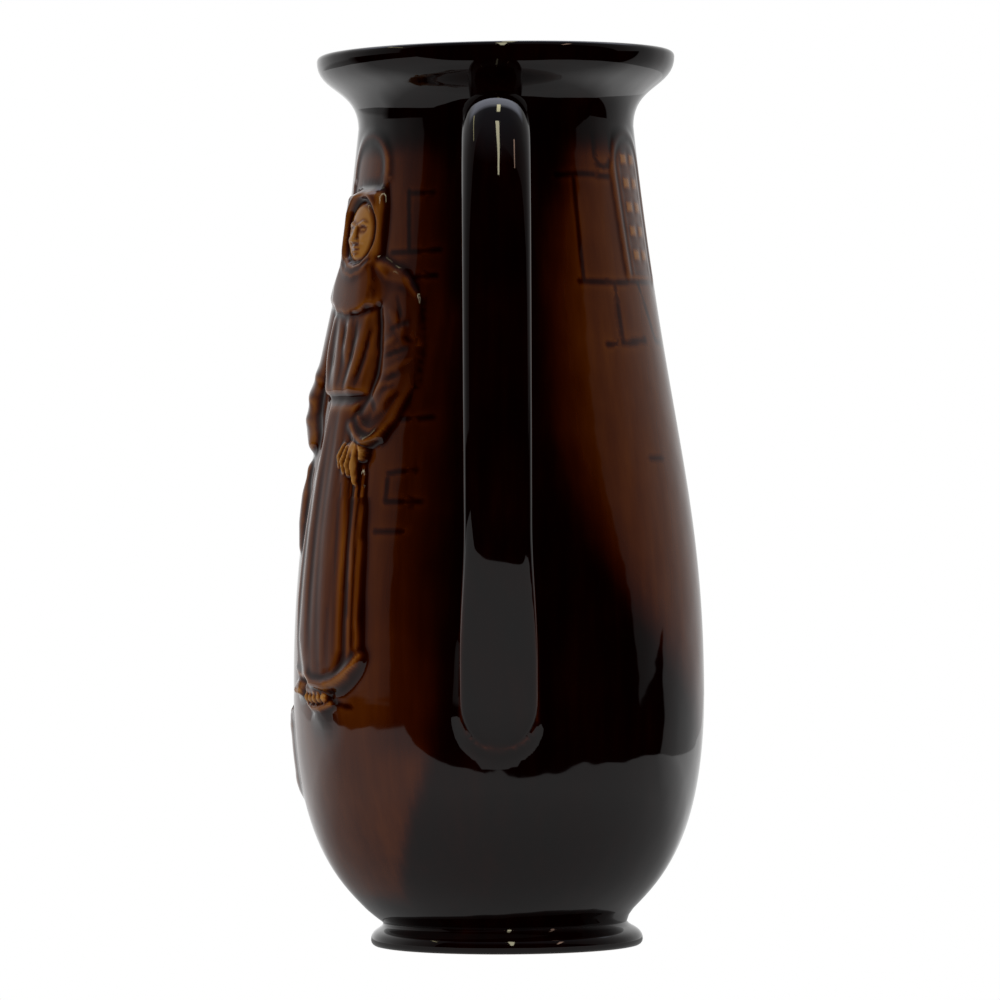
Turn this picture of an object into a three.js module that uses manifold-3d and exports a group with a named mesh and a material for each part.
// A tall two-handled loving cup in treacle-brown stoneware: a turned, hollow body with a flared rim and
// a rolled foot, two strap handles, and a low relief of a hooded monk, windows and a cask on its wall.
// Millimetres, +Z up, origin in the middle of the underside. The handles stand on -Y and +Y.
import * as THREE from 'three';
import { LoftGeometry } from 'three/addons/geometries/LoftGeometry.js';
import { mergeVertices } from 'three/addons/utils/BufferGeometryUtils.js';
import Module from 'manifold-3d';

const wasm = await Module();
wasm.setup();

// Driving sizes of the body
const cup = {
  height: 321,
  rimRadius: 64.5,
  lipThickness: 3.8,
  flareStart: 13, // how far the flare keeps the neck's line before it opens
  lipTurn: 8.1, // how far below the lip the flare turns upright
  flareDepth: 26.5, // from the lip down to the narrowest part of the neck
  neckRadius: 49.6,
  neckTaper: 0.104, // the cone's lean where it meets the neck
  neckRun: 107, // how long the cone holds that lean
  bellyRadius: 74,
  bellyHeight: 91.5,
  shoulderRun: 73, // how far the belly's fullness reaches up
  bellyRun: 62.5, // and how far it reaches down
  wall: 5,
  floorThickness: 8,
};

const neckHeight = cup.height - cup.flareDepth;

// The rolled foot and the groove above it
const foot = {
  radius: 49,
  edgeRound: 2,
  grooveRadius: 44,
  grooveHeight: 8.5,
  rollFullness: 4.5,
  springAcross: 8.1, // the line on which the belly leaves the groove
  springUp: 10.7,
  ringWidth: 6,
  recess: 4,
};

// Strap handles: their middle line stands off the wall, in shares of the reach, down the drop
const handle = {
  archRise: 0.5, // middle of the strap where it arches over, above the neck
  rootDrop: 7,
  rootDepth: 3, // how far the root sits inside the wall
  reach: 42,
  endHeight: 73,
  endDepth: 1,
  width: 24,
  endWidth: 27.5,
  thickness: 13,
  endThickness: 8,
  squareness: 2.5, // 2 is an oval section, more is squarer
  azimuths: [0, 180],
};

// Relief on the wall; azimuths turn from -Y towards +X, in degrees, and heads hang below the neck
const relief = { sink: 1.5 };
const monks = [
  { azimuth: -59, feetHeight: 86.5, headDrop: 24, rise: 1, armsOut: true },
  { azimuth: 136, feetHeight: 88, headDrop: 47, rise: 0.7, armsOut: false },
];
const windows = [
  { azimuth: 66, headDrop: 4, width: 27, height: 52, rim: 1.4, rise: 1.3, bars: 2 },
  { azimuth: -122, headDrop: 4, width: 27, height: 52, rim: 1.4, rise: 1.3, bars: 2 },
];
const doorway = { azimuth: -59, headDrop: 4, width: 27, height: 29, rim: 1.4, rise: 1.1 };
const cask = { azimuth: -101, base: 53, height: 33, width: 34, rise: 1.8, hoop: 1.5 };

// Facets
const turns = 44;
const strapSides = 12;
const strapRings = [ // shares of the strap's length, close together where it arches and where it ends
  0, 0.04, 0.08, 0.115, 0.15, 0.185, 0.22, 0.27, 0.36, 0.48, 0.6, 0.7, 0.78, 0.84, 0.89, 0.93, 0.96, 0.98, 0.993, 1];

const deg = THREE.MathUtils.degToRad;
const at = (radius, height) => new THREE.Vector2(radius, height);
const bezier = (a, b, c, d) => new THREE.CubicBezierCurve(a, b, c, d);

// Outer wall, from the foot's resting edge up to the outside of the lip

const lipRound = cup.lipThickness / 2;
const lipOutside = at(cup.rimRadius, cup.height - lipRound);
const lipInside = at(cup.rimRadius - cup.lipThickness, cup.height - lipRound);
const grooveFloor = at(foot.grooveRadius, foot.grooveHeight);

const footEdge = new THREE.EllipseCurve(
  foot.radius - foot.edgeRound, foot.edgeRound, foot.edgeRound, foot.edgeRound, -Math.PI / 2, 0);
const footRoll = bezier(
  at(foot.radius, foot.edgeRound),
  at(foot.radius, foot.edgeRound + foot.rollFullness),
  at(foot.grooveRadius, foot.grooveHeight - foot.rollFullness / 2),
  grooveFloor);
const lowerBody = bezier(
  grooveFloor,
  at(foot.grooveRadius + foot.springAcross, foot.grooveHeight + foot.springUp),
  at(cup.bellyRadius, cup.bellyHeight - cup.bellyRun),
  at(cup.bellyRadius, cup.bellyHeight));
const upperBody = bezier(
  at(cup.bellyRadius, cup.bellyHeight),
  at(cup.bellyRadius, cup.bellyHeight + cup.shoulderRun),
  at(cup.neckRadius + cup.neckRun * cup.neckTaper, neckHeight - cup.neckRun),
  at(cup.neckRadius, neckHeight));
const flare = bezier(
  at(cup.neckRadius, neckHeight),
  at(cup.neckRadius, neckHeight + cup.flareStart),
  at(cup.rimRadius, lipOutside.y - cup.lipTurn),
  lipOutside);
const lip = new THREE.EllipseCurve(
  (lipOutside.x + lipInside.x) / 2, lipOutside.y, lipRound, lipRound, 0, Math.PI);

// Inner wall, from the inside of the lip down to the middle of the floor

const floorHeight = foot.recess + cup.floorThickness;
const innerNeck = at(cup.neckRadius - cup.wall, neckHeight);
const innerBelly = at(cup.bellyRadius - cup.wall, cup.bellyHeight);
const innerFlare = bezier(
  lipInside,
  at(lipInside.x, lipInside.y - cup.lipTurn),
  at(innerNeck.x, innerNeck.y + cup.flareStart),
  innerNeck);
const innerUpper = bezier(
  innerNeck,
  at(innerNeck.x + cup.neckRun * cup.neckTaper, innerNeck.y - cup.neckRun),
  at(innerBelly.x, innerBelly.y + cup.shoulderRun),
  innerBelly);
const innerLower = bezier(
  innerBelly,
  at(innerBelly.x, innerBelly.y - cup.bellyRun),
  at(foot.grooveRadius + foot.springAcross - cup.wall, floorHeight),
  at(foot.grooveRadius - cup.wall, floorHeight));

// Points of several curves in a row, each shared end only once.
function trace(pieces) {
  const points = [];
  for (const [curve, steps] of pieces) {
    const more = curve.getPoints(steps);
    points.push(...(points.length ? more.slice(1) : more));
  }
  return points;
}

const outerPieces = [[footEdge, 2], [footRoll, 3], [lowerBody, 7], [upperBody, 6], [flare, 6]];
const innerPieces = [[innerFlare, 4], [innerUpper, 4], [innerLower, 4]];

// Radius of the outer wall at a height, read off its curves.
const wallLine = trace(outerPieces.map(([curve]) => [curve, 60]));
function wallRadius(height) {
  for (let i = 1; i < wallLine.length; i++) {
    const low = wallLine[i - 1];
    const high = wallLine[i];
    if (high.y >= height) {
      const share = (height - low.y) / Math.max(high.y - low.y, 1e-6);
      return THREE.MathUtils.lerp(low.x, high.x, THREE.MathUtils.clamp(share, 0, 1));
    }
  }
  return cup.rimRadius;
}

// A closed three.js geometry as a solid that can be joined and cut.
function solid(geometry) {
  const bare = new THREE.BufferGeometry();
  bare.setAttribute('position', geometry.getAttribute('position'));
  bare.setIndex(geometry.getIndex());
  const merged = mergeVertices(bare, 1e-4);
  return new wasm.Manifold(new wasm.Mesh({
    numProp: 3,
    vertProperties: new Float32Array(merged.attributes.position.array),
    triVerts: new Uint32Array(merged.index.array),
  }));
}

// A profile of (radius, height) points, turned round the upright axis.
function turned(points) {
  return solid(new THREE.LatheGeometry(points, turns).rotateX(Math.PI / 2));
}

function bodySolid() {
  const ringInside = foot.radius - foot.edgeRound - foot.ringWidth;
  const profile = [
    at(0, foot.recess),
    at(ringInside, foot.recess),
    at(ringInside, 0),
    ...trace([...outerPieces, [lip, 4], ...innerPieces]),
    at(0, floorHeight),
  ];
  return turned(profile);
}

// The space inside the cup, run on above the rim, to cut roots and relief back from it.
function insideSolid() {
  const above = cup.height + cup.wall;
  const line = trace(innerPieces).reverse();
  return turned([at(0, floorHeight), ...line, at(lipInside.x, above), at(0, above)]);
}

// Strap handle

// The strap's middle line in (distance from the axis, height): arch, long run and the end on the belly.
function strapLine() {
  const archHeight = neckHeight + handle.archRise;
  const drop = archHeight - handle.endHeight;
  const run = [ // share of the drop, share of the reach
    [0.004, 0.2], [0, 0.48], [0.023, 0.77], [0.077, 0.935], [0.167, 0.985], [0.266, 0.95],
    [0.405, 0.835], [0.541, 0.685], [0.644, 0.54], [0.743, 0.355], [0.856, 0.155], [0.941, 0.03],
  ];
  const rootHeight = archHeight - handle.rootDrop;
  const points = [
    new THREE.Vector3(0, -(wallRadius(rootHeight) - handle.rootDepth), rootHeight),
    ...run.map(([down, out]) => {
      const height = archHeight - down * drop;
      return new THREE.Vector3(0, -(wallRadius(height) + out * handle.reach), height);
    }),
    new THREE.Vector3(0, -(wallRadius(handle.endHeight) - handle.endDepth), handle.endHeight),
  ];
  return new THREE.CatmullRomCurve3(points, false, 'centripetal');
}

// Width and thickness along the strap: even, then spreading where it is pressed on, then rounded off.
function strapSize(share) {
  const spread = THREE.MathUtils.smoothstep(share, 0.68, 0.88);
  const roundOff = Math.sqrt(1 - (Math.max(0, share - 0.93) / 0.071) ** 2);
  return {
    width: THREE.MathUtils.lerp(handle.width, handle.endWidth, spread) * roundOff,
    thickness: THREE.MathUtils.lerp(handle.thickness, handle.endThickness, spread) * (0.35 + 0.65 * roundOff),
  };
}

function handleSolid(azimuth) {
  const line = strapLine();
  const sections = [];
  for (const share of strapRings) {
    const middle = line.getPointAt(share);
    const along = line.getTangentAt(share);
    const outward = new THREE.Vector3(0, -along.z, along.y).negate();
    const { width, thickness } = strapSize(share);
    const ring = [];
    for (let k = 0; k < strapSides; k++) {
      const angle = (k / strapSides) * 2 * Math.PI;
      const across = Math.sign(Math.cos(angle)) * Math.abs(Math.cos(angle)) ** (2 / handle.squareness);
      const out = Math.sign(Math.sin(angle)) * Math.abs(Math.sin(angle)) ** (2 / handle.squareness);
      ring.push(middle.clone()
        .addScaledVector(new THREE.Vector3(1, 0, 0), across * width / 2)
        .addScaledVector(outward, out * thickness / 2));
    }
    sections.push(ring);
  }
  const made = solid(new LoftGeometry(facingOut(sections), { capStart: true, capEnd: true }));
  return made.rotate([0, 0, azimuth]);
}

// Rings are turned over where needed, so that every loft has its faces outwards.
function facingOut(sections) {
  const probe = new LoftGeometry(sections, { capStart: true, capEnd: true });
  const p = probe.attributes.position;
  const [a, b, c] = [0, 1, 2].map(() => new THREE.Vector3());
  let volume = 0;
  for (let i = 0; i < probe.index.count; i += 3) {
    a.fromBufferAttribute(p, probe.index.getX(i));
    b.fromBufferAttribute(p, probe.index.getX(i + 1));
    c.fromBufferAttribute(p, probe.index.getX(i + 2));
    volume += a.dot(b.cross(c));
  }
  return volume < 0 ? sections.map((ring) => [...ring].reverse()) : sections;
}

// Relief: rounded strokes that lie on the wall

// A point of the wall's relief: across and up along the wall, and how far it is raised.
function onWall(azimuth, across, up, raised) {
  const radius = wallRadius(up);
  const angle = deg(azimuth) + across / radius;
  return new THREE.Vector3(
    (radius + raised) * Math.sin(angle), -(radius + raised) * Math.cos(angle), up);
}

// A stroke follows its knots [across, up, half width, height], with a domed section of a few sides.
function stroke(azimuth, knots, sides = 4) {
  const sections = knots.map(([across, up, half, height], i) => {
    const before = knots[Math.max(i - 1, 0)];
    const after = knots[Math.min(i + 1, knots.length - 1)];
    const along = new THREE.Vector2(after[0] - before[0], after[1] - before[1]).normalize();
    const ring = [];
    for (let k = 0; k <= sides; k++) {
      const angle = (k / sides) * Math.PI;
      const side = half * Math.cos(angle);
      const raised = height * Math.sin(angle);
      ring.push(onWall(azimuth, across - along.y * side, up + along.x * side, raised));
    }
    for (const side of [-half, half]) {
      ring.push(onWall(azimuth, across - along.y * side, up + along.x * side, -relief.sink));
    }
    return ring;
  });
  return solid(new LoftGeometry(facingOut(sections), { capStart: true, capEnd: true }));
}

// The monk's strokes, drawn for a figure 184.5 mm tall from soles to hood: [across, up, half width, height].
const drawnHeight = 184.5;

function robeStrokes() {
  const folds = [
    { top: 18.5, bottom: 28.6, from: 96, to: 18, half: 2.6, height: 3.9 },
    { top: 13.5, bottom: 22.6, from: 92, to: 14, half: 2.7, height: 4 },
    { top: -8, bottom: -11, from: 104, to: 14, half: 2.8, height: 3.7 },
    { top: -12, bottom: -17, from: 98, to: 15, half: 2.6, height: 2.8 },
  ];
  const skirt = [[2, 112, 15, 2], [3, 90, 20, 2.6], [4, 60, 24, 2.8], [4.5, 30, 26, 3], [4.5, 13, 25, 2.2]];
  const front = [[3, 107, 8, 3], [4, 76, 11, 3.9], [5, 44, 12.5, 4.2], [5, 12, 13, 4]];
  return [
    { knots: skirt, sides: 5 },
    { knots: front, sides: 4 },
    ...folds.map((fold) => ({
      sides: 2,
      knots: [0, 0.5, 1].map((share) => [
        THREE.MathUtils.lerp(fold.top, fold.bottom, share ** 0.8),
        THREE.MathUtils.lerp(fold.from, fold.to, share),
        fold.half * (0.75 + 0.25 * share),
        fold.height * (0.75 + 0.25 * share),
      ]),
    })),
  ];
}

function hemAndFeetStrokes() {
  return [
    { knots: [[30, 18, 1.4, 3], [24, 13.7, 2.2, 4.4], [17, 10, 2.4, 4.8], [7.6, 9, 2.4, 4.8], [-3, 10.5, 2, 4.4],
      [-9, 12.5, 2, 3.8], [-19, 14, 1.6, 2.4]], sides: 2 },
    { knots: [[-7, 4.2, 2, 2], [-3, 4, 3.8, 3.6], [4, 4.4, 3.8, 3.8], [8, 5, 2, 2]], sides: 3 },
    { knots: [[-18, 7.4, 2, 1.6], [-15.5, 7, 3.2, 2.8], [-11, 7.2, 3.2, 3.2], [-8.5, 8, 2, 2]], sides: 3 },
  ];
}

function trunkStrokes() {
  return [
    { knots: [[0, 106, 15, 2.4], [0, 130, 19, 3.2], [0, 152, 17, 3]], sides: 4 },
    { knots: [[-14, 110.5, 1.6, 3.4], [0, 109, 2.2, 4.4], [15.5, 110.5, 1.6, 3.6]], sides: 2 },
    { knots: [[2, 153, 6, 3], [16, 152, 6.5, 3.6], [27, 146, 4.5, 2.6]], sides: 3 },
    { knots: [[-3, 153, 6, 3], [-12, 152, 6, 2.8], [-21, 147, 4, 1.6]], sides: 3 },
    { knots: [[-1, 139.5, 8, 2], [-1, 143.5, 13, 4], [-0.5, 151, 13.5, 4], [0, 160, 12, 3]], sides: 4 },
  ];
}

function hoodAndFaceStrokes() {
  const arch = [];
  for (let k = 0; k <= 6; k++) {
    const angle = Math.PI * (k / 6);
    arch.push([1.2 + 11.8 * Math.cos(angle), 168 + 14 * Math.sin(angle) ** 0.75, 2.4, 3 + Math.cos(angle)]);
  }
  return [
    { knots: [[1, 150, 11, 2.2], [1, 168, 12.5, 2.2], [1, 182, 9, 2]], sides: 3 },
    { knots: [[12.6, 152, 2, 3.4], ...arch, [-10.6, 152, 2, 2]], sides: 2 },
    { knots: [[0.5, 157.5, 3.2, 2.6], [0.5, 161, 6.2, 4], [0.5, 168.5, 8, 4.4], [0.5, 176, 7.6, 4], [0.5, 180, 5, 3]],
      sides: 4 },
    { knots: [[0.5, 173.5, 1, 4.6], [0.5, 167.5, 1.9, 5.6], [0.5, 166, 1.2, 4.4]], sides: 2 },
  ];
}

function armStrokes() {
  return [
    { knots: [[19, 151, 6, 3], [24.5, 141, 9, 4.6], [27.5, 128, 8.8, 5.2], [28, 116, 8.6, 5.4], [23.5, 103, 8.4, 5],
      [18.5, 96, 7, 4.2]], sides: 4 },
    { knots: [[-15, 150, 6, 2.2], [-20.5, 138, 7, 2.4], [-27, 124, 7.4, 2.8], [-31, 112, 7.4, 4.6],
      [-29, 103, 6.5, 4.4], [-23, 96, 5, 3.4]], sides: 4 },
    { knots: [[10.5, 99, 1.4, 4.2], [17.5, 94, 1.9, 5.4], [25, 91.5, 1.9, 5], [30.5, 98, 1.4, 3.4]], sides: 2 },
  ];
}

function handAndJugStrokes() {
  const fingers = [
    [8.3, 90, 7.3, 84, 8.8, 80.6],
    [11.2, 89, 10.4, 82.4, 11.8, 78.8],
    [13.8, 88, 13.2, 81.6, 14, 78],
    [16.4, 87, 18.2, 81, 20.2, 77.4],
  ];
  return [
    { knots: [[18.5, 94, 4.6, 3.6], [16, 88.5, 5.4, 4.8], [13, 85.5, 3.6, 3.6]], sides: 4 },
    ...fingers.map(([ax, ay, bx, by, cx, cy]) => (
      { knots: [[ax, ay, 1.5, 3.8], [bx, by, 1.6, 4.4], [cx, cy, 1, 3.2]], sides: 2 })),
    { knots: [[-22, 95, 3.4, 3], [-24.5, 89, 4, 3.2], [-26, 83, 3, 2.4]], sides: 3 },
    { knots: [[-26, 85, 2.6, 1.8], [-27, 76, 4.6, 2.2], [-27, 66, 5, 1.9], [-26.5, 57, 3.2, 1]], sides: 3 },
  ];
}

// Without arms held out, the arms hang under the cape and both hands are folded in the sleeves.
function hangingArmStrokes() {
  return [-1, 1].map((side) => ({
    knots: [[19 * side, 150, 6, 3], [23 * side, 138, 7, 4.4], [22 * side, 122, 6.5, 4.6], [10 * side, 116, 6, 5]],
    sides: 3,
  }));
}

function monkSolids({ azimuth, feetHeight, headDrop, rise, armsOut }) {
  const scale = (neckHeight - headDrop - feetHeight) / drawnHeight;
  const strokes = [
    ...robeStrokes(), ...hemAndFeetStrokes(), ...trunkStrokes(), ...hoodAndFaceStrokes(),
    ...(armsOut ? [...armStrokes(), ...handAndJugStrokes()] : hangingArmStrokes()),
  ];
  return strokes.map(({ knots, sides }) => stroke(
    azimuth,
    knots.map(([across, up, half, raised]) => [
      across * scale, feetHeight + up * scale, half * scale, raised * scale * rise]),
    sides));
}

// An arch of raised rim: up one jamb, round the head and down the other.
function archKnots({ headDrop, width, height, rim, rise }) {
  const half = width / 2;
  const base = neckHeight - headDrop - height;
  const knots = [[half, base, rim, rise]];
  for (let k = 0; k <= 6; k++) {
    const angle = Math.PI * (k / 6);
    knots.push([half * Math.cos(angle), base + height - half + half * Math.sin(angle), rim, rise]);
  }
  knots.push([-half, base, rim, rise]);
  return knots;
}

function windowSolids(window) {
  const { azimuth, headDrop, width, height, rim, rise, bars } = window;
  const sill = neckHeight - headDrop - height;
  const parts = [
    stroke(azimuth, archKnots(window), 2),
    stroke(azimuth, [[-width / 2 - rim, sill, rim, rise], [0, sill, rim, rise], [width / 2 + rim, sill, rim, rise]], 2),
  ];
  for (let i = 1; i <= bars; i++) {
    const across = width * (i / (bars + 1) - 0.5);
    const top = sill + height - width / 2 + Math.sqrt((width / 2) ** 2 - across ** 2);
    parts.push(stroke(azimuth, [[across, sill, rim / 2, rise / 2], [across, top, rim / 2, rise / 2]], 2));
  }
  return parts;
}

function doorwaySolids(arch) {
  return [stroke(arch.azimuth, archKnots(arch), 2)];
}

function caskSolids({ azimuth, base, height, width, rise, hoop }) {
  const parts = [stroke(azimuth, [0, 0.25, 0.5, 0.75, 1].map((share) => [
    0, base + height * share, width / 2 * (0.8 + 0.2 * Math.sin(Math.PI * share)), rise]), 4)];
  for (const share of [0.2, 0.8]) {
    const half = width / 2 * (0.8 + 0.2 * Math.sin(Math.PI * share));
    const up = base + height * share;
    parts.push(stroke(azimuth, [[-half, up, hoop, rise / 2], [-half / 2, up, hoop, rise * 1.2],
      [half / 2, up, hoop, rise * 1.2], [half, up, hoop, rise / 2]], 2));
  }
  return parts;
}

function reliefSolids() {
  return [
    ...monks.flatMap(monkSolids),
    ...windows.flatMap(windowSolids),
    ...doorwaySolids(doorway),
    ...caskSolids(cask),
  ];
}

// The whole cup is one fired piece
const made = wasm.Manifold.union([bodySolid(), ...handle.azimuths.map(handleSolid), ...reliefSolids()])
  .subtract(insideSolid())
  .simplify(0.02);
const mesh = made.getMesh();
const geometry = new THREE.BufferGeometry();
geometry.setAttribute('position', new THREE.BufferAttribute(new Float32Array(mesh.vertProperties), 3));
geometry.setIndex(new THREE.BufferAttribute(new Uint32Array(mesh.triVerts), 1));
geometry.computeVertexNormals();

const treacleGlaze = new THREE.MeshStandardMaterial({ color: 0x2e1608, roughness: 0.08, metalness: 0 });
const lovingCup = new THREE.Mesh(geometry, treacleGlaze);
lovingCup.name = 'loving_cup';

const part = new THREE.Group();
part.add(lovingCup);

export default part;
